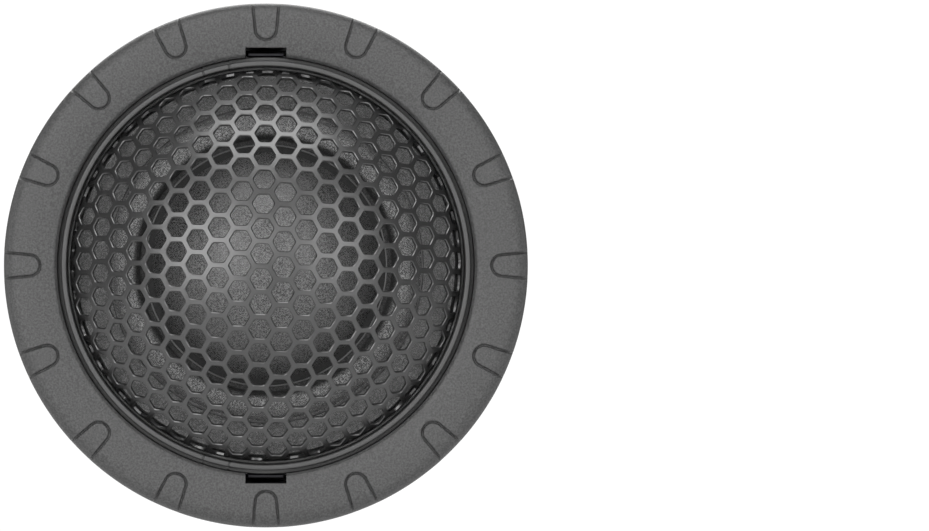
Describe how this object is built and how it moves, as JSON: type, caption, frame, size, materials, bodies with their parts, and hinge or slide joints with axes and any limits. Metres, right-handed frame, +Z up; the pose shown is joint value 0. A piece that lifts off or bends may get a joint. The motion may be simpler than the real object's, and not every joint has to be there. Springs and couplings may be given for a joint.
{
  "type": "car tweeter",
  "caption": "Round flush-mount dome tweeter with a crowned trim flange, a domed perforated grille, a threaded barrel with a clamp nut and rear blade terminals.",
  "frame": {"origin": "on the tweeter's axis, at the face of the panel that it is fitted in", "axes": "+Y along the axis, from the grille to the terminals; +Z up, through one window of the flange"},
  "size_m": [0.056, 0.0349, 0.056],
  "materials": {
    "spark_textured_plastic": "spark-eroded mould texture, matte dark grey",
    "moulded_black_plastic": "moulded, satin",
    "foam": "closed-cell foam",
    "zinc_plated_steel": "zinc plated",
    "spring_steel": "rolled strip",
    "painted_steel": "semi-gloss dark grey paint on perforated sheet",
    "rubber": "moulded rubber",
    "coated_cloth": "coated woven cloth",
    "polyimide_film": "film",
    "enamelled_wire": "enamelled copper winding",
    "felt": "pressed felt",
    "nickel_plated_magnet": "nickel plated",
    "wadding": "loose fibre",
    "phenolic_board": "paper laminate",
    "tinned_brass": "tinned",
    "insulated_wire": "extruded sleeve"
  },
  "bodies": {
    "housing": {"trim_flange": "spark_textured_plastic", "mounting_barrel": "moulded_black_plastic", "panel_gasket": "foam", "chassis": "moulded_black_plastic", "grille_ring": "spark_textured_plastic", "grille": "painted_steel", "capsule_gasket": "rubber", "surround": "coated_cloth", "felt_pad": "felt", "pole_disc": "zinc_plated_steel", "magnet": "nickel_plated_magnet", "motor_cup": "zinc_plated_steel", "rear_cover": "moulded_black_plastic", "rear_wadding": "wadding", "terminal_board": "phenolic_board", "terminal_positive": "tinned_brass", "terminal_negative": "tinned_brass", "lead_positive": "insulated_wire", "lead_negative": "insulated_wire", "rear_screw_1": "zinc_plated_steel", "rear_screw_2": "zinc_plated_steel", "rear_screw_3": "zinc_plated_steel"},
    "diaphragm": {"dome": "coated_cloth", "voice_coil_former": "polyimide_film", "voice_coil": "enamelled_wire"},
    "latch_top": {"latch_spring_top": "spring_steel"},
    "latch_bottom": {"latch_spring_bottom": "spring_steel"},
    "clamp_carrier": {"clamp_washer": "zinc_plated_steel"},
    "clamp_ring": {"clamp_nut": "moulded_black_plastic"}
  },
  "joints": [
    {"name": "diaphragm_slide", "type": "slide", "parent": "housing", "child": "diaphragm", "axis": [0, 1, 0], "range_m": [-0.0004, 0.0004], "stiffness_N_per_m": 1200, "deforming": ["surround"]},
    {"name": "latch_top_hinge", "type": "hinge", "parent": "housing", "child": "latch_top", "pos_m": [0, 0.0082, 0.0225], "axis": [-1, 0, 0], "range_deg": [0, 3.6], "stiffness_Nm_per_rad": 0.02},
    {"name": "latch_bottom_hinge", "type": "hinge", "parent": "housing", "child": "latch_bottom", "pos_m": [0, 0.0082, -0.0225], "axis": [1, 0, 0], "range_deg": [0, 3.6], "stiffness_Nm_per_rad": 0.02},
    {"name": "clamp_slide", "type": "slide", "parent": "housing", "child": "clamp_carrier", "axis": [0, 1, 0], "range_m": [-0.005, 0.003]},
    {"name": "clamp_turn", "type": "hinge", "parent": "clamp_carrier", "child": "clamp_ring", "pos_m": [0, 0.009, 0], "axis": [0, 1, 0], "range_deg": [-900, 540]}
  ],
  "couplings": [
    {"joint": "clamp_slide", "follows": "clamp_turn", "m_per_rad": 0.00031831}
  ]
}
